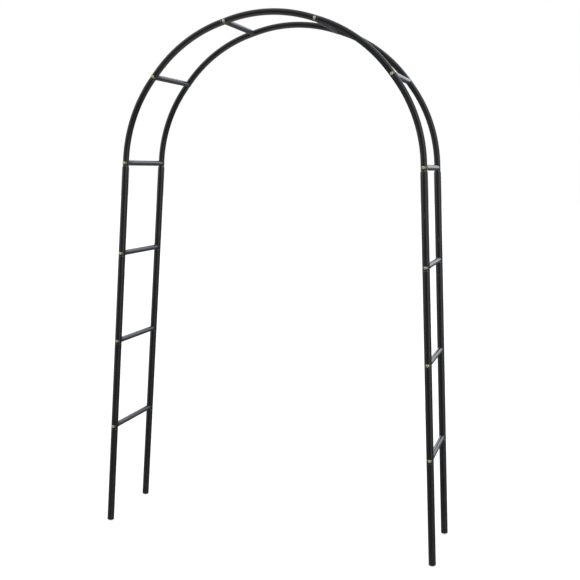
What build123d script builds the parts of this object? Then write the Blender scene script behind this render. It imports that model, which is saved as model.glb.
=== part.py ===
from build123d import *
from math import cos, radians, sin, tan
import os

# Metal trellis arch: two round-tube frames, front and rear, joined by twelve rungs.
# +Z up, X across the walkway, Y through it. The origin is on the ground, midway
# between the four legs. All sizes in millimetres.

# ---- driving dimensions ----
HEIGHT = 2400.0          # ground to the top of the crown
ARCH_RADIUS = 690.0      # circle through the arch's screws, on the tube's centre line
LEG_SPLAY = 3.25         # degrees that each leg leans outwards, going down
FRAME_SPACING = 380.0    # front centre line to rear centre line
ARCH_SECTIONS = 5        # curved tubes in each frame
POST_SECTIONS = 3        # equal straight tubes in each leg, above the foot tube

ARCH_OD = 28.0
LEG_OD = 32.0            # the legs are stouter, and their tops taper down to the arch
TUBE_WALL = 1.2
SPIGOT_CLEARANCE = 0.2   # radial, between a swaged end and the tube that it plugs into
SEAM_DROP = 14.0         # from a screw down to the open end of the upper tube, clear of the rung
SPIGOT_RISE = 21.0       # from a screw up to the swaged end of the lower tube
STRAIGHT_END = 15.5      # a curved tube stays straight this far each side of a screw
SHOULDER = 2.0           # length of the step where the tube is swaged down
TAPER = 4.0              # length of the cone at the top of a leg, for each mm that the radius drops
EDGE_BREAK = 0.5         # chamfer on every tube end
SAME_PLACE = 0.01        # two points nearer than this are one

RUNG_OD = 25.0
RUNG_WALL = 1.2
COPE_GAP = 0.05          # paint thickness between a rung's coped end and the post

SCREW_SHANK = 6.0
SCREW_LENGTH = 45.0
SCREW_TIP = 1.0          # chamfer at the end of the shank
SCREW_HOLE = 6.6
HEAD_DIAMETER = 12.0
HEAD_HEIGHT = 3.8
HEAD_EDGE = 1.2          # height of the head's straight side
HEAD_SHOULDER_RADIUS = 4.6   # a point on the head's round, and its height above the seat
HEAD_SHOULDER_HEIGHT = 3.0
RECESS_SPAN = 6.4        # cross recess, arm end to arm end
RECESS_WIDTH = 1.3
RECESS_DEPTH = 2.0

SADDLE_THICKNESS = 1.5
SADDLE_WIDTH = 12.0      # along the tube
SADDLE_SPAN = 22.0       # across the tube
SADDLE_CORNER = 4.0

INSERT_LENGTH = 20.0     # threaded insert pressed into each rung end
INSERT_INSET = 1.5       # from the post's wall to the insert

PLUG_STEM = 22.0
PLUG_LEAD = 1.0          # chamfer at the top of the stem
PLUG_FLANGE = 3.0
PLUG_ROUND = 2.0
PLUG_NUB = 5.0           # blunt point that the leg stands on
NUB_TOP_RADIUS = 5.0
NUB_TIP_RADIUS = 3.4
NUB_EXTRA = 1.0          # drawn below the ground, then cut level with it
RIB_COUNT = 3
RIB_PITCH = 6.0
RIB_HEIGHT = 1.2

# ---- worked out from them ----
ARCH_R = ARCH_OD / 2
LEG_R = LEG_OD / 2
LEG_BORE_R = LEG_R - TUBE_WALL
STEM_R = LEG_BORE_R - SPIGOT_CLEARANCE                 # of a foot plug's stem
ARCH_BORE_R = ARCH_R - TUBE_WALL
SPIGOT_R = ARCH_BORE_R - SPIGOT_CLEARANCE
SPIGOT_BORE_R = SPIGOT_R - TUBE_WALL
RUNG_R = RUNG_OD / 2
RUNG_BORE_R = RUNG_R - RUNG_WALL
SPRING_BEARING = 90.0 - LEG_SPLAY                      # of the arch's ends, from the crown
SECTION_BEARING = 2 * SPRING_BEARING / ARCH_SECTIONS   # turned by one curved tube
HALF_TURN = radians(SECTION_BEARING / 2)
BEND_RADIUS = ARCH_RADIUS - STRAIGHT_END / tan(HALF_TURN)
BEND_OFFSET = (ARCH_RADIUS - BEND_RADIUS) / cos(HALF_TURN)   # bend's centre from the arch's
ARCH_CENTRE_Z = HEIGHT - ARCH_R - BEND_RADIUS - BEND_OFFSET
PITCH = 2 * STRAIGHT_END + radians(SECTION_BEARING) * BEND_RADIUS   # one section, screw to screw
SPRING_Z = ARCH_CENTRE_Z + ARCH_RADIUS * sin(radians(LEG_SPLAY))
LEG_LENGTH = SPRING_Z / cos(radians(LEG_SPLAY))        # arch's end to the ground
SPRING_X = ARCH_RADIUS * cos(radians(LEG_SPLAY))
FOOT_X = SPRING_X + LEG_LENGTH * sin(radians(LEG_SPLAY))
FOOT_LENGTH = LEG_LENGTH - POST_SECTIONS * PITCH       # lowest screw to the ground
TUBE_END = PLUG_FLANGE + PLUG_NUB                      # open end of the foot tube, above ground
FRAMES = {"front": -1, "rear": 1}
SIDES = {"left": -1, "right": 1}

os.makedirs("parts", exist_ok=True)


def save(piece, name):
    piece.part.label = name
    export_step(piece.part, f"parts/{name}.step")


def leg_up(side):
    """Direction of a leg, from the ground up."""
    lean = radians(LEG_SPLAY)
    return Vector(-side * sin(lean), 0, cos(lean))


def leg_point(side, height, y):
    """Point on a leg's centre line, measured along the leg from the ground."""
    return Vector(side * FOOT_X, y, 0) + leg_up(side) * height


def arch_point(bearing, y):
    """Centre of the arch's tube at a screw, by its bearing from the crown, left negative."""
    turn = radians(bearing)
    return Vector(ARCH_RADIUS * sin(turn), y, ARCH_CENTRE_Z + ARCH_RADIUS * cos(turn))


def arch_along(bearing):
    """Direction of the arch's centre line, from left to right."""
    turn = radians(bearing)
    return Vector(cos(turn), 0, -sin(turn))


def leg_stations():
    """Heights of the screws along a leg, from the lowest up to the arch's end."""
    return [FOOT_LENGTH + step * PITCH for step in range(POST_SECTIONS + 1)]


def arch_stations():
    """Bearings of the screws between the curved tubes, left to right, ends included."""
    return [-SPRING_BEARING + step * SECTION_BEARING for step in range(ARCH_SECTIONS + 1)]


def joint_places():
    """Rung name, point midway between the frames, direction along the post and the post's
    radius, for every joint. The arch's open ends cover the topmost joint of each leg."""
    places = []
    for side_name, side in SIDES.items():
        for number, height in enumerate(leg_stations(), start=1):
            post_r = LEG_R if number <= POST_SECTIONS else ARCH_R
            places.append((f"rung_{side_name}_{number}", leg_point(side, height, 0), leg_up(side), post_r))
    for number, bearing in enumerate(arch_stations()[1:-1], start=1):
        places.append((f"rung_arch_{number}", arch_point(bearing, 0), arch_along(bearing), ARCH_R))
    return places


def fastener_planes(frame, radius):
    """Planes at the middle of one frame's joints whose posts have this radius: local Z
    outwards, local X along the post."""
    middle = Vector(0, frame * FRAME_SPACING / 2, 0)
    return [Plane(origin=centre + middle, x_dir=along, z_dir=(0, frame, 0))
            for _, centre, along, post_r in joint_places() if post_r == radius]


def along_leg(side, height, y):
    """Plane through a leg's centre line: local X points away from it, local Y up the leg."""
    up = leg_up(side)
    return Plane(origin=leg_point(side, height, y), x_dir=(up.Z, 0, -up.X), z_dir=(0, -1, 0))


def drill(point):
    """Screw hole straight through both walls of a tube."""
    with Locations(Plane(origin=point, x_dir=(1, 0, 0), z_dir=(0, 1, 0))):
        Cylinder(SCREW_HOLE / 2, 2 * LEG_OD, mode=Mode.SUBTRACT)


def straight_tube(name, side, y, low, plain_top, holes, next_r):
    """Leg tube: plain from low to plain_top, then swaged down to plug into the next tube.

    Under a slimmer tube, whose radius is next_r, its top tapers first.
    """
    end = plain_top + SEAM_DROP + SPIGOT_RISE
    taper = TAPER * (LEG_R - next_r)
    spigot_r = next_r - TUBE_WALL - SPIGOT_CLEARANCE
    outline = [
        (LEG_BORE_R, low),
        (LEG_R - EDGE_BREAK, low),
        (LEG_R, low + EDGE_BREAK),
        (LEG_R, plain_top - EDGE_BREAK - taper),
    ]
    if taper:
        outline += [(next_r, plain_top - EDGE_BREAK)]
    outline += [
        (next_r - EDGE_BREAK, plain_top),
        (spigot_r, plain_top),
        (spigot_r, end - EDGE_BREAK),
        (spigot_r - EDGE_BREAK, end),
        (spigot_r - TUBE_WALL, end),
        (spigot_r - TUBE_WALL, plain_top - SHOULDER),
        (LEG_BORE_R, plain_top - 2 * SHOULDER - taper),
    ]
    with BuildPart() as tube:
        with BuildSketch(along_leg(side, 0, y)):
            with BuildLine():
                Polyline(*outline, close=True)
            make_face()
        revolve(axis=Axis(leg_point(side, 0, y), leg_up(side)))
        for height in holes:
            drill(leg_point(side, height, y))
    save(tube, name)


def ring(centre, along, outer, inner):
    """Tube wall in section, square to the tube."""
    with BuildSketch(Plane(origin=centre, x_dir=(0, 1, 0), z_dir=along)) as section:
        Circle(outer)
        Circle(inner, mode=Mode.SUBTRACT)
    return section.sketch


def curved_tube(name, y, left, right, swaged):
    """Arch tube between two screws' bearings, bent between straight ends.

    swaged is 1 when the right end is swaged down to plug into the next tube, -1 when
    the left end is, and 0 when both ends are plain.
    """
    middle = radians(left + right) / 2
    bend = Axis((BEND_OFFSET * sin(middle), y, ARCH_CENTRE_Z + BEND_OFFSET * cos(middle)), (0, 1, 0))
    with BuildPart() as tube:
        for end, bearing in ((-1, left), (1, right)):
            screw = arch_point(bearing, y)
            outward = arch_along(bearing) * end
            seam = screw + outward * (-SEAM_DROP if end == swaged else SEAM_DROP)
            plain = STRAIGHT_END - SEAM_DROP if end == swaged else STRAIGHT_END + SEAM_DROP
            bore = SPIGOT_BORE_R if end == swaged else ARCH_BORE_R
            extrude(ring(seam, -outward, ARCH_R, bore), amount=plain)
            rim = tube.edges().filter_by(GeomType.CIRCLE).filter_by(
                lambda e: abs(e.radius - ARCH_R) < SAME_PLACE and abs(e.arc_center - seam) < SAME_PLACE)
            chamfer(rim, EDGE_BREAK)
            if end == swaged:
                extrude(ring(seam, outward, SPIGOT_R, SPIGOT_BORE_R), amount=SEAM_DROP + SPIGOT_RISE)
            drill(screw)
        start = arch_point(left, y) + arch_along(left) * STRAIGHT_END
        revolve(ring(start, arch_along(left), ARCH_R, ARCH_BORE_R), axis=bend, revolution_arc=right - left)
    save(tube, name)


# ---- legs: a foot tube and three post tubes on each of the four legs ----
for frame_name, frame in FRAMES.items():
    frame_y = frame * FRAME_SPACING / 2
    for side_name, side in SIDES.items():
        screws = leg_stations()
        straight_tube(f"{frame_name}_{side_name}_foot_tube", side, frame_y,
                      TUBE_END, screws[0] - SEAM_DROP, screws[:1], LEG_R)
        for number in range(POST_SECTIONS):
            lower, upper = screws[number], screws[number + 1]
            next_r = LEG_R if number < POST_SECTIONS - 1 else ARCH_R
            straight_tube(f"{frame_name}_{side_name}_post_tube_{number + 1}", side, frame_y,
                          lower - SEAM_DROP, upper - SEAM_DROP, (lower, upper), next_r)

# ---- arch: five curved tubes in each frame, the middle one plain at both ends ----
bearings = arch_stations()
for frame_name, frame in FRAMES.items():
    for number in range(ARCH_SECTIONS):
        swaged = (number < ARCH_SECTIONS // 2) - (number > ARCH_SECTIONS // 2)
        curved_tube(f"{frame_name}_arch_tube_{number + 1}", frame * FRAME_SPACING / 2,
                    bearings[number], bearings[number + 1], swaged)

# ---- rungs: straight tubes with both ends coped to the round of the posts ----
for rung_name, centre, post, post_r in joint_places():
    with BuildPart() as rung:
        with BuildSketch(Plane(origin=centre, x_dir=post, z_dir=(0, 1, 0))):
            Circle(RUNG_R)
            Circle(RUNG_BORE_R, mode=Mode.SUBTRACT)
        extrude(amount=FRAME_SPACING / 2, both=True)
        for frame in FRAMES.values():
            with Locations(Plane(origin=centre + Vector(0, frame * FRAME_SPACING / 2, 0), z_dir=post)):
                Cylinder(post_r + COPE_GAP, 2 * RUNG_OD, mode=Mode.SUBTRACT)
    save(rung, rung_name)

# ---- threaded inserts, one pressed into each end of every rung ----
insert_parts = {}
for post_r in (LEG_R, ARCH_R):
    with BuildPart() as insert:
        with BuildSketch(Plane.XY.offset(-post_r - INSERT_INSET)):
            Circle(RUNG_BORE_R)
            Circle(SCREW_SHANK / 2, mode=Mode.SUBTRACT)
        extrude(amount=-INSERT_LENGTH)
    insert_parts[post_r] = insert.part

with BuildPart() as inserts:
    for frame in FRAMES.values():
        for post_r, insert_part in insert_parts.items():
            with Locations(*fastener_planes(frame, post_r)):
                add(insert_part)
save(inserts, "rung_inserts")

# ---- saddle washers: pressed strip, curved to sit on the post ----
saddle_parts = {}
for post_r in (LEG_R, ARCH_R):
    with BuildPart() as saddle:
        with BuildSketch(Plane.XY):
            RectangleRounded(SADDLE_WIDTH, SADDLE_SPAN, SADDLE_CORNER)
            Circle(SCREW_HOLE / 2, mode=Mode.SUBTRACT)
        extrude(amount=2 * post_r)
        Cylinder(post_r + SADDLE_THICKNESS, 2 * LEG_OD, rotation=(0, 90, 0), mode=Mode.INTERSECT)
        Cylinder(post_r, 2 * LEG_OD, rotation=(0, 90, 0), mode=Mode.SUBTRACT)
    saddle_parts[post_r] = saddle.part

for frame_name, frame in FRAMES.items():
    with BuildPart() as saddles:
        for post_r, saddle_part in saddle_parts.items():
            with Locations(*fastener_planes(frame, post_r)):
                add(saddle_part)
    save(saddles, f"{frame_name}_saddle_washers")

# ---- screws: pan head with a cross recess, through the post into the rung's insert ----
screw_parts = {}
for post_r in (LEG_R, ARCH_R):
    seat = post_r + SADDLE_THICKNESS
    with BuildPart() as screw:
        with BuildSketch(Plane.XZ):
            with BuildLine():
                Polyline(
                    (0, seat + HEAD_HEIGHT),
                    (0, seat - SCREW_LENGTH),
                    (SCREW_SHANK / 2 - SCREW_TIP, seat - SCREW_LENGTH),
                    (SCREW_SHANK / 2, seat - SCREW_LENGTH + SCREW_TIP),
                    (SCREW_SHANK / 2, seat),
                    (HEAD_DIAMETER / 2, seat),
                    (HEAD_DIAMETER / 2, seat + HEAD_EDGE),
                )
                ThreePointArc((HEAD_DIAMETER / 2, seat + HEAD_EDGE),
                              (HEAD_SHOULDER_RADIUS, seat + HEAD_SHOULDER_HEIGHT), (0, seat + HEAD_HEIGHT))
            make_face()
        revolve(axis=Axis.Z)
        for turn in (0, 90):
            with Locations((0, 0, seat + HEAD_HEIGHT)):
                Box(RECESS_SPAN, RECESS_WIDTH, 2 * RECESS_DEPTH, rotation=(0, 0, turn), mode=Mode.SUBTRACT)
    screw_parts[post_r] = screw.part

for frame_name, frame in FRAMES.items():
    with BuildPart() as screws:
        for post_r, screw_part in screw_parts.items():
            with Locations(*fastener_planes(frame, post_r)):
                add(screw_part)
    save(screws, f"{frame_name}_screws")

# ---- foot plugs: ribbed stem in the tube, rounded flange and a blunt point on the ground ----
for frame_name, frame in FRAMES.items():
    for side_name, side in SIDES.items():
        frame_y = frame * FRAME_SPACING / 2
        flange_low = TUBE_END - PLUG_FLANGE
        stem_top = TUBE_END + PLUG_STEM
        with BuildPart() as plug:
            with BuildSketch(along_leg(side, 0, frame_y)):
                with BuildLine():
                    Polyline(
                        (NUB_TOP_RADIUS, flange_low),
                        (NUB_TIP_RADIUS, -NUB_EXTRA),
                        (0, -NUB_EXTRA),
                        (0, stem_top),
                        (STEM_R - PLUG_LEAD, stem_top),
                        (STEM_R, stem_top - PLUG_LEAD),
                        (STEM_R, TUBE_END),
                        (LEG_R, TUBE_END),
                        (LEG_R, flange_low + PLUG_ROUND),
                    )
                    flange_edge = (LEG_R - PLUG_ROUND, flange_low)
                    RadiusArc((LEG_R, flange_low + PLUG_ROUND), flange_edge, PLUG_ROUND)
                    Line(flange_edge, (NUB_TOP_RADIUS, flange_low))
                make_face()
                for number in range(RIB_COUNT):
                    with Locations((STEM_R, TUBE_END + RIB_PITCH * (number + 0.5))):
                        Rectangle(2 * SPIGOT_CLEARANCE, RIB_HEIGHT)
            revolve(axis=Axis(leg_point(side, 0, frame_y), leg_up(side)))
            split(bisect_by=Plane.XY, keep=Keep.TOP)
        save(plug, f"{frame_name}_{side_name}_foot_plug")

print("section pitch", round(PITCH, 1), "foot", round(FOOT_LENGTH, 1), "spring height", round(SPRING_Z, 1))
print("leg to leg on the ground", round(2 * FOOT_X, 1))
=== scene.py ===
import math
import random
import bpy
from mathutils import Matrix, Vector


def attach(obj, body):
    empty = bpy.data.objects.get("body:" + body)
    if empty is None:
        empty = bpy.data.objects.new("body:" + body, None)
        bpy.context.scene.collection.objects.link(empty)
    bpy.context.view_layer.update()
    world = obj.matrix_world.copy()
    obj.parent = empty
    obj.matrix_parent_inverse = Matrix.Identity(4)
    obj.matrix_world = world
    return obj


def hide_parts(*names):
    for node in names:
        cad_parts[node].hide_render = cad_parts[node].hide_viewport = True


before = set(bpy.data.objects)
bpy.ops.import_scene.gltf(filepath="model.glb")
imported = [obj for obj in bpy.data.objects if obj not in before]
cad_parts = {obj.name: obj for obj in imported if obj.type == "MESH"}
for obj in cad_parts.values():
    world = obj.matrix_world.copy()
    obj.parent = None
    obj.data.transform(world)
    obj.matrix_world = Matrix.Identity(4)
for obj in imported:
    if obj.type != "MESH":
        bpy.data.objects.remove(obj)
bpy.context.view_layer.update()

bpy.ops.object.select_all(action="DESELECT")

# ---- Camera ----
# A standing person's view, from the front and a little to the right of the arch, 1.7 m up
# and about 4 m away.
camera_data = bpy.data.cameras.new("camera")
camera_data.sensor_width = 36.0
camera_data.lens = 57.03
camera_data.clip_end = 100.0
camera = bpy.data.objects.new("camera", camera_data)
bpy.context.scene.collection.objects.link(camera)
camera.location = (1.311, -4.044, 1.735)
camera.rotation_euler = (math.radians(90 - 7.749), 0, math.radians(17.271))
camera.rotation_euler.rotate_axis("Z", math.radians(0.917))
bpy.context.scene.camera = camera

# ---- Studio ----
# A white sweep behind and under the arch. Soft light comes from a tall screen on each side,
# from the sweep and from overhead, and the camera's side of the room is dark, so that the
# tubes show long pale streaks with a dark middle.
bpy.context.scene.view_settings.view_transform = "Standard"


def linear(hex_colour):
    """An sRGB hex colour as linear red, green, blue and alpha."""
    channels = [int(hex_colour[place:place + 2], 16) / 255 for place in (1, 3, 5)]
    return [c / 12.92 if c <= 0.04045 else ((c + 0.055) / 1.055) ** 2.4 for c in channels] + [1]


def add(tree, kind, links=(), stops=(), **settings):
    """Add a node: settings are its properties or inputs by name, links join its inputs to other
    nodes' outputs, and stops are a colour ramp's places and colours."""
    node = tree.nodes.new(kind)
    for name, value in settings.items():
        if hasattr(node, name):
            setattr(node, name, value)
        else:
            node.inputs[name.replace("_", " ")].default_value = value
    for socket, output in links:
        tree.links.new(output, node.inputs[socket])
    for number, (place, colour) in enumerate(stops):
        ramp = node.color_ramp.elements
        stop = ramp[number] if number < len(ramp) else ramp.new(place)
        stop.position = place
        stop.color = colour
    return node


def grey(level, tint=(1.0, 1.0, 1.0)):
    return [level * part for part in tint] + [1]


def bearing_stops(levels):
    """Ramp places for brightness by bearing in degrees: 0 is the front, 90 the right, 180 the back."""
    return [((bearing + 180) / 360, grey(level)) for bearing, level in levels]


def rise_stops(levels):
    """Ramp places for brightness by how steeply a direction climbs, from -1, down, to 1, up."""
    return [((rise + 1) / 2, grey(*level)) for rise, *level in levels]


COOL = (0.90, 0.94, 1.0)
WARM = (1.0, 0.97, 0.93)
BRIGHTEST = 2.0                          # a ramp holds 0 to 1, and the light is this many times that

world = bpy.data.worlds.new("studio")
bpy.context.scene.world = world
world.use_nodes = True
tree = world.node_tree
tree.nodes.clear()
towards = add(tree, "ShaderNodeSeparateXYZ", [(0, add(tree, "ShaderNodeTexCoord").outputs["Generated"])])
front = add(tree, "ShaderNodeMath", [(0, towards.outputs["Y"])], operation="MULTIPLY")
front.inputs[1].default_value = -1
angle = add(tree, "ShaderNodeMath", [(0, towards.outputs["X"]), (1, front.outputs[0])], operation="ARCTAN2")
bearing = add(tree, "ShaderNodeMapRange", [("Value", angle.outputs[0])], From_Min=-math.pi, From_Max=math.pi)
rise = add(tree, "ShaderNodeMapRange", [("Value", towards.outputs["Z"])], From_Min=-1, From_Max=1)
screens = add(tree, "ShaderNodeValToRGB", [("Fac", bearing.outputs[0])], bearing_stops([
    (-180, 0.0), (-110, 0.1), (-95, 0.42), (-45, 0.45), (-25, 0.04), (25, 0.02), (42, 0.35),
    (50, 0.72), (78, 0.72), (95, 0.12), (112, 0.04), (180, 0.0)]))
screens_rise = add(tree, "ShaderNodeValToRGB", [("Fac", rise.outputs[0])], rise_stops([
    (-0.33, 0.0), (-0.20, 0.8), (0.0, 1.0), (0.6, 1.0), (0.8, 0.3)]))
sweep = add(tree, "ShaderNodeValToRGB", [("Fac", bearing.outputs[0])], bearing_stops([
    (-180, 0.95), (-150, 0.8), (-120, 0.1), (120, 0.05), (145, 0.5), (165, 0.95), (180, 0.95)]))
sweep_rise = add(tree, "ShaderNodeValToRGB", [("Fac", rise.outputs[0])], rise_stops([
    (-0.05, 0.04), (0.03, 1.0, COOL), (0.55, 1.0, COOL), (0.8, 0.2, COOL)]))
ends = add(tree, "ShaderNodeValToRGB", [("Fac", rise.outputs[0])], rise_stops([
    (-1.0, 0.5, WARM), (-0.75, 0.42, WARM), (-0.5, 0.06), (0.5, 0.03), (0.75, 0.42, COOL), (1.0, 0.5, COOL)]))
side_light = add(tree, "ShaderNodeMix", data_type="RGBA", blend_type="MULTIPLY")
side_light.inputs["Factor"].default_value = 1
back_light = add(tree, "ShaderNodeMix", data_type="RGBA", blend_type="MULTIPLY")
back_light.inputs["Factor"].default_value = 1
for mix, first, second in ((side_light, screens, screens_rise), (back_light, sweep, sweep_rise)):
    tree.links.new(first.outputs["Color"], mix.inputs[6])
    tree.links.new(second.outputs["Color"], mix.inputs[7])
both = add(tree, "ShaderNodeVectorMath", [(0, side_light.outputs[2]), (1, back_light.outputs[2])],
           operation="ADD")
total = add(tree, "ShaderNodeVectorMath", [(0, both.outputs[0]), (1, ends.outputs["Color"])], operation="ADD")
felt = add(tree, "ShaderNodeBackground", [("Color", total.outputs[0])], Strength=BRIGHTEST)
seen = add(tree, "ShaderNodeBackground", Color=grey(1.0), Strength=1.0)
straight = add(tree, "ShaderNodeLightPath").outputs["Is Camera Ray"]
shown = add(tree, "ShaderNodeMixShader", [(0, straight), (1, felt.outputs[0]), (2, seen.outputs[0])])
add(tree, "ShaderNodeOutputWorld", [("Surface", shown.outputs[0])])

white_vinyl = bpy.data.materials.new("white_vinyl_sweep")
white_vinyl.use_nodes = True
shader = white_vinyl.node_tree.nodes["Principled BSDF"]
shader.inputs["Base Color"].default_value = linear("#b4b4b4")
shader.inputs["Roughness"].default_value = 1.0
shader.inputs["Specular IOR Level"].default_value = 0.0
shader.inputs["Emission Color"].default_value = grey(1.0)
shader.inputs["Emission Strength"].default_value = 0.72
bpy.ops.mesh.primitive_plane_add(size=80)
floor = bpy.context.object
floor.name = "floor"
floor.data.materials.append(white_vinyl)
floor.visible_glossy = False             # the tubes reflect the studio's own dark and pale parts instead

# ---- Foot plugs ----
# A push-in plug of black polyethylene closes each foot tube: a ribbed stem inside the
# tube, a rounded flange as wide as the tube, and a blunt point that stands on the ground.
MM = 0.001
HEIGHT = 2.400
ARCH_RADIUS = 0.690                      # through the screws, on the tube's centre line
ARCH_SECTIONS = 5
POST_SECTIONS = 3
STRAIGHT_END = 15.5 * MM                 # at each end of a rolled tube
ARCH_R = 14.0 * MM
LEG_R = 16.0 * MM
WALL = 1.2 * MM
CLEARANCE = 0.2 * MM
TUBE_SIDES = 72
LEG_SPLAY = math.radians(3.25)
SPRING_BEARING = math.pi / 2 - LEG_SPLAY
SECTION_TURN = 2 * SPRING_BEARING / ARCH_SECTIONS
BEND_RADIUS = ARCH_RADIUS - STRAIGHT_END / math.tan(SECTION_TURN / 2)
BEND_OFFSET = (ARCH_RADIUS - BEND_RADIUS) / math.cos(SECTION_TURN / 2)
ARCH_CENTRE_Z = HEIGHT - ARCH_R - BEND_RADIUS - BEND_OFFSET
PITCH = 2 * STRAIGHT_END + SECTION_TURN * BEND_RADIUS        # from one screw to the next
LEG_LENGTH = (ARCH_CENTRE_Z + ARCH_RADIUS * math.sin(LEG_SPLAY)) / math.cos(LEG_SPLAY)
FOOT_LENGTH = LEG_LENGTH - POST_SECTIONS * PITCH             # from the ground to the lowest screw
FOOT_X = ARCH_RADIUS * math.cos(LEG_SPLAY) + LEG_LENGTH * math.sin(LEG_SPLAY)
FRAME_Y = {"front": -0.190, "rear": 0.190}
SIDES = {"left": -1, "right": 1}
RIB_R = LEG_R - WALL
STEM_R = RIB_R - CLEARANCE
RIB_COUNT = 3
RIB = ((2.4, STEM_R), (0.2, RIB_R), (0.8, RIB_R), (0.2, STEM_R), (2.4, STEM_R))   # steps up, and radii
STEM_TOP = ((3.0, STEM_R), (1.0, STEM_R - 1 * MM))
NUB_TIP_R = 3.3 * MM
NUB_EXTRA = 1.0 * MM                     # drawn below the ground, then cut level with it
NUB = ((2.5, 3.9), (2.2, 4.5), (0.8, 4.85), (0.35, 5.3), (0.15, 6.2))             # steps up, and radii
FLANGE = ((0.0, 2.8), (0.1, 1.9), (0.35, 1.05), (0.6, 0.45), (0.7, 0.1), (0.4, 0.0), (0.6, 0.0),
          (0.15, 0.1))                   # steps up, and how far under the tube's size

moulded_polyethylene = bpy.data.materials.new("moulded_black_polyethylene")
moulded_polyethylene.use_nodes = True
tree = moulded_polyethylene.node_tree
shader = tree.nodes["Principled BSDF"]
shader.inputs["IOR"].default_value = 1.51
# Spark-eroded mould skin gives a dull, fine grain, and the point is scuffed paler where it stands.
here = add(tree, "ShaderNodeTexCoord").outputs["Object"]
grain = add(tree, "ShaderNodeTexNoise", [("Vector", here)], Scale=1 / (0.6 * MM), Detail=3.0)
scuff = add(tree, "ShaderNodeTexNoise", [("Vector", here)], Scale=1 / (5 * MM), Detail=5.0)
tone = add(tree, "ShaderNodeValToRGB", [("Fac", scuff.outputs["Fac"])],
           [(0.42, linear("#101011")), (0.72, linear("#2b2a28"))])
dull = add(tree, "ShaderNodeMapRange", [("Value", scuff.outputs["Fac"])], To_Min=0.42, To_Max=0.68)
relief = add(tree, "ShaderNodeBump", [("Height", grain.outputs["Fac"])], Strength=0.35, Distance=0.05 * MM)
tree.links.new(tone.outputs["Color"], shader.inputs["Base Color"])
tree.links.new(dull.outputs["Result"], shader.inputs["Roughness"])
tree.links.new(relief.outputs["Normal"], shader.inputs["Normal"])


def start_round(radius, height=0.0, sides=TUBE_SIDES):
    """Add the first ring of a round piece, which then grows along Z."""
    bpy.ops.mesh.primitive_circle_add(vertices=sides, radius=radius, location=(0, 0, height))
    bpy.ops.object.transform_apply(location=True, rotation=False, scale=False)
    bpy.ops.object.mode_set(mode="EDIT")
    bpy.ops.mesh.select_all(action="SELECT")
    return {"at": Vector((0, 0, height)), "along": Vector((0, 0, 1)), "radius": radius}


def grow(ring, length, radius):
    """Extrude the open ring along the piece and resize it."""
    step = ring["along"] * length
    bpy.ops.mesh.extrude_region_move(TRANSFORM_OT_translate={"value": step})
    ring["at"] = ring["at"] + step
    scale = radius / ring["radius"]
    bpy.ops.transform.resize(value=(scale, scale, scale), center_override=ring["at"])
    ring["radius"] = radius


def close_round(name):
    """Cap both open ends and point the faces outwards."""
    bpy.ops.mesh.select_all(action="SELECT")
    bpy.ops.mesh.fill_holes(sides=0)
    bpy.ops.mesh.select_all(action="SELECT")
    bpy.ops.mesh.normals_make_consistent(inside=False)
    bpy.ops.object.mode_set(mode="OBJECT")
    bpy.context.object.name = name
    return bpy.context.object


def modify(piece, kind, **settings):
    """Add a modifier and apply it."""
    bpy.context.view_layer.objects.active = piece
    modifier = piece.modifiers.new(kind.lower(), kind)
    for name, value in settings.items():
        setattr(modifier, name, value)
    bpy.ops.object.modifier_apply(modifier=modifier.name)


def copy_to(piece, name, origin, across, along):
    """Copy a piece, its X turned to across and its Z to along, and apply the move to its mesh."""
    bpy.ops.object.select_all(action="DESELECT")
    piece.select_set(True)
    bpy.context.view_layer.objects.active = piece
    bpy.ops.object.duplicate()
    copy = bpy.context.object
    copy.name = name
    turn = Matrix((across, along.cross(across), along)).transposed()
    copy.matrix_world = Matrix.Translation(origin) @ turn.to_4x4()
    bpy.ops.object.transform_apply(location=True, rotation=True, scale=True)
    return copy


def discard(*models):
    for model in models:
        bpy.data.objects.remove(model, do_unlink=True)


def finish(piece, node, material, crease=35):
    """Smooth the piece up to the crease angle, give it its material and put it in the CAD node's place."""
    bpy.ops.object.select_all(action="DESELECT")
    piece.select_set(True)
    bpy.context.view_layer.objects.active = piece
    bpy.ops.object.shade_smooth_by_angle(angle=math.radians(crease))
    piece.data.materials.clear()
    piece.data.materials.append(material)
    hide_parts(node)
    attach(piece, "root")


def leg_up(side):
    return Vector((-side * math.sin(LEG_SPLAY), 0, math.cos(LEG_SPLAY)))


def leg_across(side):
    return Vector((math.cos(LEG_SPLAY), 0, side * math.sin(LEG_SPLAY)))


def leg_point(side, height, y):
    return Vector((side * FOOT_X, y, 0)) + leg_up(side) * height


ring = start_round(NUB_TIP_R, height=-NUB_EXTRA)
for length, radius in NUB:
    grow(ring, length * MM, radius * MM)
for length, under in FLANGE:
    grow(ring, length * MM, LEG_R - under * MM)
grow(ring, 0.0, STEM_R)
for length, radius in RIB_COUNT * RIB + STEM_TOP:
    grow(ring, length * MM, radius)
plug_model = close_round("plug_model")

for frame_name, y in FRAME_Y.items():
    for side_name, side in SIDES.items():
        node = f"{frame_name}_{side_name}_foot_plug"
        plug = copy_to(plug_model, node + "_moulded", leg_point(side, 0, y), leg_across(side), leg_up(side))
        bpy.ops.object.mode_set(mode="EDIT")
        bpy.ops.mesh.select_all(action="SELECT")
        bpy.ops.mesh.bisect(plane_co=(0, 0, 0), plane_no=(0, 0, 1), clear_inner=True, use_fill=True)
        bpy.ops.object.mode_set(mode="OBJECT")
        finish(plug, node, moulded_polyethylene)
discard(plug_model)

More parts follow.
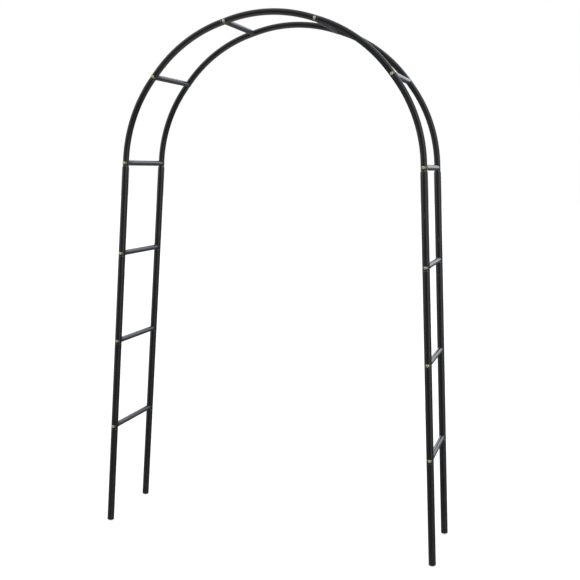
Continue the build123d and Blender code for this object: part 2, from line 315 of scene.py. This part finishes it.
# ---- Leg tubes ----
# Steel tube, 32 mm across with a 1.2 mm wall, powder coated satin black. The upper end of
# each is swaged down and plugs into the tube above, whose open end makes a seam there. The
# topmost tapers first, because the arch that it meets is slimmer.
TAPER = 4.0                              # length of that cone for each mm that the radius drops
EDGE = 0.5 * MM
SEAM_GAP = 0.4 * MM                      # the open end stands off the shoulder by a hair
SEAM_DROP = 14.0 * MM
SPIGOT_RISE = 21.0 * MM
TUBE_END = 8.0 * MM
# steps in from an open end, and how far under full size each is
END_RINGS = ((0.2, 0.1), (0.3, 0.0), (0.6, 0.0), (1.4, 0.0), (2.5, 0.0))
END_LENGTH = sum(step for step, _ in END_RINGS) * MM
STRETCHES = 10                           # equal lengths that a leg tube is drawn in
WEAR_REACH = 2.5 * MM                    # paint is rubbed this far from a seam


def powder_coat(name, dark, light, roughness):
    """Satin black polyester powder on steel: fine orange peel, cloudy dust that thickens towards
    the ground, a few pale scratches, and bare metal where a seam has rubbed through."""
    paint = bpy.data.materials.new(name)
    paint.use_nodes = True
    tree = paint.node_tree
    shader = tree.nodes["Principled BSDF"]
    shader.inputs["IOR"].default_value = 1.5
    here = add(tree, "ShaderNodeTexCoord").outputs["Object"]
    cloud = add(tree, "ShaderNodeTexNoise", [("Vector", here)],
                Scale=1 / (90 * MM), Detail=6.0, Roughness=0.6)
    tone = add(tree, "ShaderNodeValToRGB", [("Fac", cloud.outputs["Fac"])],
               [(0.35, linear(dark)), (0.7, linear(light))])

    # dust and dried splashes, thicker on the lowest 30 cm than above
    height = add(tree, "ShaderNodeSeparateXYZ", [(0, here)]).outputs["Z"]
    low = add(tree, "ShaderNodeMapRange", [("Value", height)],
              From_Min=0.30, From_Max=0.02, To_Min=0.0, To_Max=0.16)
    splash = add(tree, "ShaderNodeTexNoise", [("Vector", here)],
                 Scale=1 / (9 * MM), Detail=7.0, Roughness=0.7)
    reach = add(tree, "ShaderNodeMath", [(0, splash.outputs["Fac"]), (1, low.outputs[0])], operation="ADD")
    dust = add(tree, "ShaderNodeMapRange", [("Value", reach.outputs[0])],
               From_Min=0.60, From_Max=0.80, To_Min=0.0, To_Max=0.2)
    dusty = add(tree, "ShaderNodeMix", [(0, dust.outputs[0]), (6, tone.outputs["Color"])], data_type="RGBA")
    dusty.inputs[7].default_value = linear("#3a3530")

    # hairline scratches along the tube's length: a noise stretched until its bands are thin lines
    spread = add(tree, "ShaderNodeMapping", [("Vector", here)], Scale=(1.0, 1.0, 0.12))
    hair = add(tree, "ShaderNodeTexNoise", [("Vector", spread.outputs[0])], Scale=1 / (4 * MM), Detail=2.0)
    line = add(tree, "ShaderNodeMapRange", [("Value", hair.outputs["Fac"])],
               From_Min=0.735, From_Max=0.75, To_Min=0.0, To_Max=0.5)
    scratched = add(tree, "ShaderNodeMix", [(0, line.outputs[0]), (6, dusty.outputs[2])], data_type="RGBA")
    scratched.inputs[7].default_value = linear("#5d5e60")

    # bare steel where the paint is rubbed through, ragged at its edge
    rubbed = add(tree, "ShaderNodeAttribute", attribute_name="wear").outputs["Fac"]
    ragged = add(tree, "ShaderNodeTexNoise", [("Vector", here)], Scale=1 / (1.6 * MM), Detail=4.0)
    through = add(tree, "ShaderNodeMath", [(0, rubbed), (1, ragged.outputs["Fac"])], operation="ADD")
    bare = add(tree, "ShaderNodeMapRange", [("Value", through.outputs[0])], From_Min=1.26, From_Max=1.34)
    coat = add(tree, "ShaderNodeMix", [(0, bare.outputs[0]), (6, scratched.outputs[2])], data_type="RGBA")
    coat.inputs[7].default_value = linear("#a9a69d")

    # gloss is patchy, and dust dulls it
    sheen = add(tree, "ShaderNodeMapRange", [("Value", cloud.outputs["Fac"])],
                From_Min=0.3, From_Max=0.75, To_Min=roughness, To_Max=roughness + 0.08)
    dulled = add(tree, "ShaderNodeMath", [(0, sheen.outputs[0]), (1, dust.outputs[0])], operation="ADD")

    # orange peel, with ripples 2 mm apart
    peel = add(tree, "ShaderNodeTexNoise", [("Vector", here)], Scale=1 / (2.2 * MM), Detail=2.0)
    relief = add(tree, "ShaderNodeBump", [("Height", peel.outputs["Fac"])], Strength=0.5, Distance=0.06 * MM)
    tree.links.new(coat.outputs[2], shader.inputs["Base Color"])
    tree.links.new(bare.outputs[0], shader.inputs["Metallic"])
    tree.links.new(dulled.outputs[0], shader.inputs["Roughness"])
    tree.links.new(relief.outputs["Normal"], shader.inputs["Normal"])
    return paint


post_coat = powder_coat("satin_black_powder_coat", "#0b0b0c", "#131315", 0.28)


def open_end(radius):
    """Start a tube at its open end, with the edge broken."""
    ring = start_round(radius - EDGE, SEAM_GAP)
    for step, under in END_RINGS:
        grow(ring, step * MM, radius - under * MM)
    return ring


def last_end(ring, radius):
    """The same broken edge, drawn towards the end of the tube."""
    for step, under in reversed(END_RINGS[1:]):
        grow(ring, step * MM, radius)
    step, under = END_RINGS[0]
    grow(ring, 0.0, radius - under * MM)
    grow(ring, step * MM, radius - EDGE)


def swaged_end(ring, next_r):
    """The shoulder where the tube is pressed down, and the length that plugs into the next tube."""
    seam = (ring["at"].copy(), ring["along"].copy())
    spigot_r = next_r - WALL - CLEARANCE
    grow(ring, 0.0, spigot_r)
    grow(ring, SEAM_DROP + SPIGOT_RISE - EDGE, spigot_r)
    grow(ring, EDGE, spigot_r - EDGE)
    return seam


def give_wall(name, seams):
    """Turn the drawn skin into a tube wall, and mark how rubbed the paint is, from 1 at a seam to 0."""
    bpy.ops.mesh.select_all(action="SELECT")
    bpy.ops.mesh.remove_doubles(threshold=0.01 * MM)
    bpy.ops.mesh.normals_make_consistent(inside=False)
    bpy.ops.object.mode_set(mode="OBJECT")
    tube = bpy.context.object
    tube.name = name
    modify(tube, "SOLIDIFY", thickness=WALL, offset=-1.0, use_rim=True)
    wear = tube.data.attributes.new("wear", "FLOAT", "POINT")
    for vertex in tube.data.vertices:
        for at, along in seams:
            away = vertex.co - at
            if away.length < 2 * LEG_R:
                wear.data[vertex.index].value = max(0.0, 1 - abs(away.dot(along)) / WEAR_REACH)
    return tube


def straight_tube(name, length, next_r):
    """A leg tube, this long from seam to seam, that plugs into a tube of radius next_r."""
    cone = TAPER * (LEG_R - next_r)
    top = cone + EDGE if cone else END_LENGTH
    ring = open_end(LEG_R)
    for _ in range(STRETCHES):
        grow(ring, (length - SEAM_GAP - END_LENGTH - top) / STRETCHES, LEG_R)
    if cone:
        worn = WEAR_REACH - EDGE
        grow(ring, cone - worn, next_r + worn / TAPER)
        grow(ring, worn, next_r)
        grow(ring, EDGE, next_r - EDGE)
    else:
        last_end(ring, LEG_R)
    return give_wall(name, [(Vector(), Vector((0, 0, 1))), swaged_end(ring, next_r)])


foot_model = straight_tube("foot_model", FOOT_LENGTH - SEAM_DROP - TUBE_END, LEG_R)
post_model = straight_tube("post_model", PITCH, LEG_R)
top_model = straight_tube("top_model", PITCH, ARCH_R)
for frame_name, y in FRAME_Y.items():
    for side_name, side in SIDES.items():
        across, up = leg_across(side), leg_up(side)
        node = f"{frame_name}_{side_name}_foot_tube"
        tube = copy_to(foot_model, node + "_coated", leg_point(side, TUBE_END, y), across, up)
        finish(tube, node, post_coat)
        for number, model in enumerate((post_model, post_model, top_model)):
            node = f"{frame_name}_{side_name}_post_tube_{number + 1}"
            seam = leg_point(side, FOOT_LENGTH + number * PITCH - SEAM_DROP, y)
            tube = copy_to(model, node + "_coated", seam, across, up)
            finish(tube, node, post_coat)
discard(foot_model, post_model, top_model)

# ---- Arch tubes ----
# Coated like the legs but slimmer, 28 mm across, and rolled to a curve between short straight
# ends. The crown tube is open at both ends, and the tubes on each side of it plug up into it.
BEND_STEPS = 48
bearings = [-SPRING_BEARING + step * SECTION_TURN for step in range(ARCH_SECTIONS + 1)]


def bend(ring, turn, radius):
    """Spin the open ring round a bend that curves towards +X. Spin turns left-handed, so its
    angle is negative."""
    along = ring["along"]
    centre = ring["at"] + Vector((along.z, 0, -along.x)) * radius
    bpy.ops.mesh.spin(steps=BEND_STEPS, angle=-turn, center=centre, axis=(0, 1, 0))
    turned = Matrix.Rotation(turn, 3, "Y")
    ring["at"] = centre + turned @ (ring["at"] - centre)
    ring["along"] = turned @ along


def arch_tube(name, swaged):
    """A tube from one seam to the next: open and then curved, with its far end swaged or open."""
    ring = open_end(ARCH_R)
    grow(ring, SEAM_DROP + STRAIGHT_END - END_LENGTH - SEAM_GAP, ARCH_R)
    bend(ring, SECTION_TURN, BEND_RADIUS)
    if swaged:
        grow(ring, STRAIGHT_END - SEAM_DROP - EDGE, ARCH_R)
        grow(ring, EDGE, ARCH_R - EDGE)
        last_seam = swaged_end(ring, ARCH_R)
    else:
        grow(ring, STRAIGHT_END + SEAM_DROP - END_LENGTH - SEAM_GAP, ARCH_R)
        last_end(ring, ARCH_R)
        last_seam = (ring["at"].copy(), ring["along"].copy())
    return give_wall(name, [(Vector(), Vector((0, 0, 1))), last_seam])


def arch_point(bearing, y):
    return Vector((ARCH_RADIUS * math.sin(bearing), y, ARCH_CENTRE_Z + ARCH_RADIUS * math.cos(bearing)))


def arch_along(bearing):
    return Vector((math.cos(bearing), 0, -math.sin(bearing)))


side_model = arch_tube("side_model", swaged=True)
crown_model = arch_tube("crown_model", swaged=False)
for frame_name, y in FRAME_Y.items():
    for number in range(ARCH_SECTIONS):
        node = f"{frame_name}_arch_tube_{number + 1}"
        from_left = number <= 2          # each tube is placed by its open, lower end
        lower = bearings[number] if from_left else bearings[number + 1]
        along = arch_along(lower) * (1 if from_left else -1)
        inwards = Vector((-math.sin(lower), 0, -math.cos(lower)))
        seam = arch_point(lower, y) - along * SEAM_DROP
        model = crown_model if number == 2 else side_model
        tube = copy_to(model, node + "_coated", seam, inwards, along)
        finish(tube, node, post_coat)
discard(side_model, crown_model)

# ---- Rungs ----
# Tube 25 mm across with a 1.2 mm wall, both ends coped to the round of the posts, powder
# coated like the frames, though its colour is painted lighter and bluer than theirs as a painted
# reflection of the bright light behind and above. A screw through the post pulls each end tight against it.
RUNG_R = 12.5 * MM
RUNG_LENGTH = FRAME_Y["rear"] - FRAME_Y["front"]
COPE_GAP = 0.05 * MM
COPE_START = 20.0 * MM                   # the ends are drawn square here, then pushed on to the posts
COPE_REACH = 15.0 * MM                   # and no vertex moves further than this
FORM_LENGTH = 60.0 * MM
FORM_SIDES = 256
RUNG_EDGE = 0.25 * MM
SHARP = math.radians(50)                 # edges keener than this are rounded
COPE_WEAR = 0.7                          # a cope rubs its paint less than a seam does
RUNG_STRETCHES = 12


def coped_rung(post_r):
    """A rung that fits posts of this radius, along Z from the middle of one post to the other's."""
    cope_r = post_r + COPE_GAP
    ring = start_round(RUNG_R, COPE_START)
    for _ in range(RUNG_STRETCHES):
        grow(ring, (RUNG_LENGTH - 2 * COPE_START) / RUNG_STRETCHES, RUNG_R)
    bpy.ops.mesh.select_all(action="SELECT")
    bpy.ops.mesh.normals_make_consistent(inside=False)
    bpy.ops.object.mode_set(mode="OBJECT")
    rung = bpy.context.object
    modify(rung, "SOLIDIFY", thickness=WALL, offset=-1.0, use_rim=True)
    for height in (0.0, RUNG_LENGTH):
        ends = rung.vertex_groups.new(name="coped_end")
        ends.add([v.index for v in rung.data.vertices if abs(v.co.z - height) < COPE_START + MM], 1.0, "ADD")
        bpy.ops.mesh.primitive_cylinder_add(vertices=FORM_SIDES, radius=cope_r, depth=FORM_LENGTH,
                                            location=(0, 0, height), rotation=(0, math.pi / 2, 0))
        post_form = bpy.context.object
        modify(rung, "SHRINKWRAP", target=post_form, wrap_method="PROJECT", use_project_z=True,
               use_negative_direction=True, use_positive_direction=True, project_limit=COPE_REACH,
               vertex_group=ends.name)
        discard(post_form)
        rung.vertex_groups.clear()
    modify(rung, "BEVEL", width=RUNG_EDGE, segments=2, limit_method="ANGLE", angle_limit=SHARP)
    wear = rung.data.attributes.new("wear", "FLOAT", "POINT")
    for vertex in rung.data.vertices:
        from_post = min(math.hypot(vertex.co.y, vertex.co.z),
                        math.hypot(vertex.co.y, RUNG_LENGTH - vertex.co.z))
        wear.data[vertex.index].value = max(0.0, COPE_WEAR - (from_post - cope_r) / WEAR_REACH)
    return rung


# The frames' black coat drawn lighter and bluer: painted reflection of the bright light behind and above on
# the rungs.
rung_coat_with_painted_reflection = powder_coat("satin_black_powder_coat_with_painted_reflection_on_rungs", "#191b20", "#282b33", 0.30)


def joint_places():
    """Each rung's name, the point midway between the frames, the way that the posts run there and
    their radius. The arch's open ends cover the topmost joint of each leg."""
    places = []
    for side_name, side in SIDES.items():
        for number in range(POST_SECTIONS + 1):
            middle = leg_point(side, FOOT_LENGTH + number * PITCH, 0)
            post_r = LEG_R if number < POST_SECTIONS else ARCH_R
            places.append((f"rung_{side_name}_{number + 1}", middle, leg_up(side), post_r))
    for number in range(1, ARCH_SECTIONS):
        bearing = bearings[number]
        places.append((f"rung_arch_{number}", arch_point(bearing, 0), arch_along(bearing), ARCH_R))
    return places


rung_models = {post_r: coped_rung(post_r) for post_r in (LEG_R, ARCH_R)}
for node, middle, post, post_r in joint_places():
    start = middle + Vector((0, FRAME_Y["front"], 0))
    rung = copy_to(rung_models[post_r], node + "_coated", start, post, Vector((0, 1, 0)))
    finish(rung, node, rung_coat_with_painted_reflection)
discard(*rung_models.values())

# ---- Rung inserts ----
# A turned steel bush with an M6 thread, zinc plated and pressed into each rung end, where
# it takes the screw. The rung hides it.
zinc_plate = bpy.data.materials.new("clear_zinc_plate")
zinc_plate.use_nodes = True
tree = zinc_plate.node_tree
shader = tree.nodes["Principled BSDF"]
shader.inputs["Metallic"].default_value = 1.0
# Clear passivated zinc is a cool, slightly patchy silver.
here = add(tree, "ShaderNodeTexCoord").outputs["Object"]
bloom = add(tree, "ShaderNodeTexNoise", [("Vector", here)], Scale=1 / (3 * MM), Detail=5.0)
tone = add(tree, "ShaderNodeValToRGB", [("Fac", bloom.outputs["Fac"])],
           [(0.3, linear("#b9bab8")), (0.7, linear("#dcdcd6"))])
dull = add(tree, "ShaderNodeMapRange", [("Value", bloom.outputs["Fac"])], To_Min=0.28, To_Max=0.45)
tree.links.new(tone.outputs["Color"], shader.inputs["Base Color"])
tree.links.new(dull.outputs["Result"], shader.inputs["Roughness"])
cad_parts["rung_inserts"].material_slots[0].material = zinc_plate

# ---- Saddle washers ----
# Under each screw head, a strip of zinc-plated steel pressed to the round of the tube, so
# that the screw doesn't dent it.
SADDLE_THICKNESS = 1.5 * MM
SADDLE_WIDTH = 12.0 * MM                 # along the tube
SADDLE_SPAN = 22.0 * MM                  # across it
SADDLE_CORNER = 4.0 * MM
SCREW_HOLE_R = 3.3 * MM
SADDLE_GAP = 0.02 * MM                   # the strip sits this far off the tube
SADDLE_EDGE = 0.3 * MM
SADDLE_SIDES = 144
HOLE_SIDES = 48


def passivated_zinc(name, dark, light):
    """A straw passivation over zinc: patchy in tone, with a soft sheen and a fine drawn grain."""
    plate = bpy.data.materials.new(name)
    plate.use_nodes = True
    tree = plate.node_tree
    shader = tree.nodes["Principled BSDF"]
    shader.inputs["Metallic"].default_value = 1.0
    here = add(tree, "ShaderNodeTexCoord").outputs["Object"]
    film = add(tree, "ShaderNodeTexNoise", [("Vector", here)], Scale=1 / (6 * MM), Detail=6.0)
    tone = add(tree, "ShaderNodeValToRGB", [("Fac", film.outputs["Fac"])],
               [(0.3, linear(dark)), (0.75, linear(light))])
    dull = add(tree, "ShaderNodeMapRange", [("Value", film.outputs["Fac"])], To_Min=0.34, To_Max=0.52)
    grain = add(tree, "ShaderNodeTexNoise", [("Vector", here)], Scale=1 / (0.4 * MM), Detail=2.0)
    relief = add(tree, "ShaderNodeBump", [("Height", grain.outputs["Fac"])], Strength=0.3, Distance=0.02 * MM)
    tree.links.new(tone.outputs["Color"], shader.inputs["Base Color"])
    tree.links.new(dull.outputs["Result"], shader.inputs["Roughness"])
    tree.links.new(relief.outputs["Normal"], shader.inputs["Normal"])
    return plate


# The pressed strip has gone dull and brownish, and the screw heads are still bright.
strip_zinc = passivated_zinc("dull_yellow_passivated_zinc_strip", "#6f6958", "#989079")


def pressed_saddle(post_r):
    """A strip with rounded corners and a hole, curved to a post of this radius that runs along X."""
    bpy.ops.mesh.primitive_plane_add(size=1.0)
    bpy.ops.object.mode_set(mode="EDIT")
    bpy.ops.mesh.select_all(action="SELECT")
    bpy.ops.transform.resize(value=(SADDLE_WIDTH, SADDLE_SPAN, 1))
    bpy.ops.mesh.bevel(affect="VERTICES", offset=SADDLE_CORNER, segments=8, offset_type="OFFSET")
    bpy.ops.mesh.extrude_region_move(TRANSFORM_OT_translate={"value": (0, 0, 2 * post_r)})
    bpy.ops.mesh.select_all(action="SELECT")
    bpy.ops.mesh.normals_make_consistent(inside=False)
    bpy.ops.object.mode_set(mode="OBJECT")
    outline = bpy.context.object
    bpy.ops.mesh.primitive_cylinder_add(vertices=SADDLE_SIDES, radius=post_r + SADDLE_THICKNESS,
                                        depth=2 * SADDLE_WIDTH, rotation=(0, math.pi / 2, 0))
    saddle = bpy.context.object
    bpy.ops.object.transform_apply(location=False, rotation=True, scale=False)
    bpy.ops.mesh.primitive_cylinder_add(vertices=SADDLE_SIDES, radius=post_r + SADDLE_GAP,
                                        depth=3 * SADDLE_WIDTH, rotation=(0, math.pi / 2, 0))
    tube_form = bpy.context.object
    bpy.ops.mesh.primitive_cylinder_add(vertices=HOLE_SIDES, radius=SCREW_HOLE_R, depth=4 * post_r)
    hole_form = bpy.context.object
    bpy.context.view_layer.update()
    modify(saddle, "BOOLEAN", operation="INTERSECT", object=outline, solver="EXACT")
    modify(saddle, "BOOLEAN", operation="DIFFERENCE", object=tube_form, solver="EXACT")
    modify(saddle, "BOOLEAN", operation="DIFFERENCE", object=hole_form, solver="EXACT")
    modify(saddle, "BEVEL", width=SADDLE_EDGE, segments=3, limit_method="ANGLE", angle_limit=SHARP)
    discard(outline, tube_form, hole_form)
    return saddle


def fix_all(models, prefix, node, material, loose_turn):
    """Put the fastener for the post's radius at every joint of each frame, and join each frame's
    twelve into one piece."""
    turns = random.Random(12)
    for frame_name, y in FRAME_Y.items():
        outwards = Vector((0, math.copysign(1, y), 0))
        copies = []
        for rung, middle, post, post_r in joint_places():
            across = Matrix.Rotation(turns.uniform(0, loose_turn), 3, outwards) @ post
            at = middle + Vector((0, y, 0))
            copies.append(copy_to(models[post_r], f"{prefix}_{rung}", at, across, outwards))
        bpy.ops.object.select_all(action="DESELECT")
        for copy in copies:
            copy.select_set(True)
        bpy.context.view_layer.objects.active = copies[0]
        bpy.ops.object.join()
        copies[0].name = f"{frame_name}_{prefix}"
        finish(copies[0], f"{frame_name}_{node}", material, crease=30)
    discard(*models.values())


saddle_models = {post_r: pressed_saddle(post_r) for post_r in (LEG_R, ARCH_R)}
fix_all(saddle_models, "plated_saddles", "saddle_washers", strip_zinc, loose_turn=0.0)

# ---- Screws ----
# M6 pan-head machine screws with a cross recess, in the same yellow zinc, from the outside
# of each frame through the post and its spigot into the rung's insert.
SCREW_LENGTH = 45.0 * MM
SHANK_R = 3.0 * MM
SHANK_SIDES = 64
SCREW_TIP = 1.0 * MM                     # chamfer at the end of the shank
SCREW_EDGE = 0.12 * MM
HEAD_HEIGHT = 3.8 * MM
RECESS = (6.4 * MM, 1.3 * MM, 4.0 * MM)  # arm to arm, width and twice the depth
HEAD = ((0.0, 5.75), (0.25, 6.0), (0.95, 6.0), (0.5, 5.85), (0.5, 5.45), (0.5, 4.85), (0.42, 4.05),
        (0.36, 3.0), (0.22, 1.9), (0.08, 0.9))               # steps up, and radii


def machine_screw(post_r):
    """A screw whose head sits on the saddle of a post of this radius."""
    seat = post_r + SADDLE_THICKNESS
    ring = start_round(SHANK_R - SCREW_TIP, seat - SCREW_LENGTH, sides=SHANK_SIDES)
    grow(ring, SCREW_TIP, SHANK_R)
    grow(ring, SCREW_LENGTH - SCREW_TIP, SHANK_R)
    for length, radius in HEAD:
        grow(ring, length * MM, radius * MM)
    screw = close_round("screw_model")
    for turn in (0, math.pi / 2):
        bpy.ops.mesh.primitive_cube_add(size=1.0, location=(0, 0, seat + HEAD_HEIGHT), rotation=(0, 0, turn))
        blade = bpy.context.object
        blade.scale = RECESS
        bpy.context.view_layer.update()
        modify(screw, "BOOLEAN", operation="DIFFERENCE", object=blade, solver="EXACT")
        discard(blade)
    modify(screw, "BEVEL", width=SCREW_EDGE, segments=2, limit_method="ANGLE", angle_limit=SHARP)
    return screw


screw_zinc = passivated_zinc("bright_yellow_passivated_zinc_screws", "#cbc4ad", "#e8e1ca")
screw_models = {post_r: machine_screw(post_r) for post_r in (LEG_R, ARCH_R)}
fix_all(screw_models, "plated_screws", "screws", screw_zinc, loose_turn=math.pi / 2)
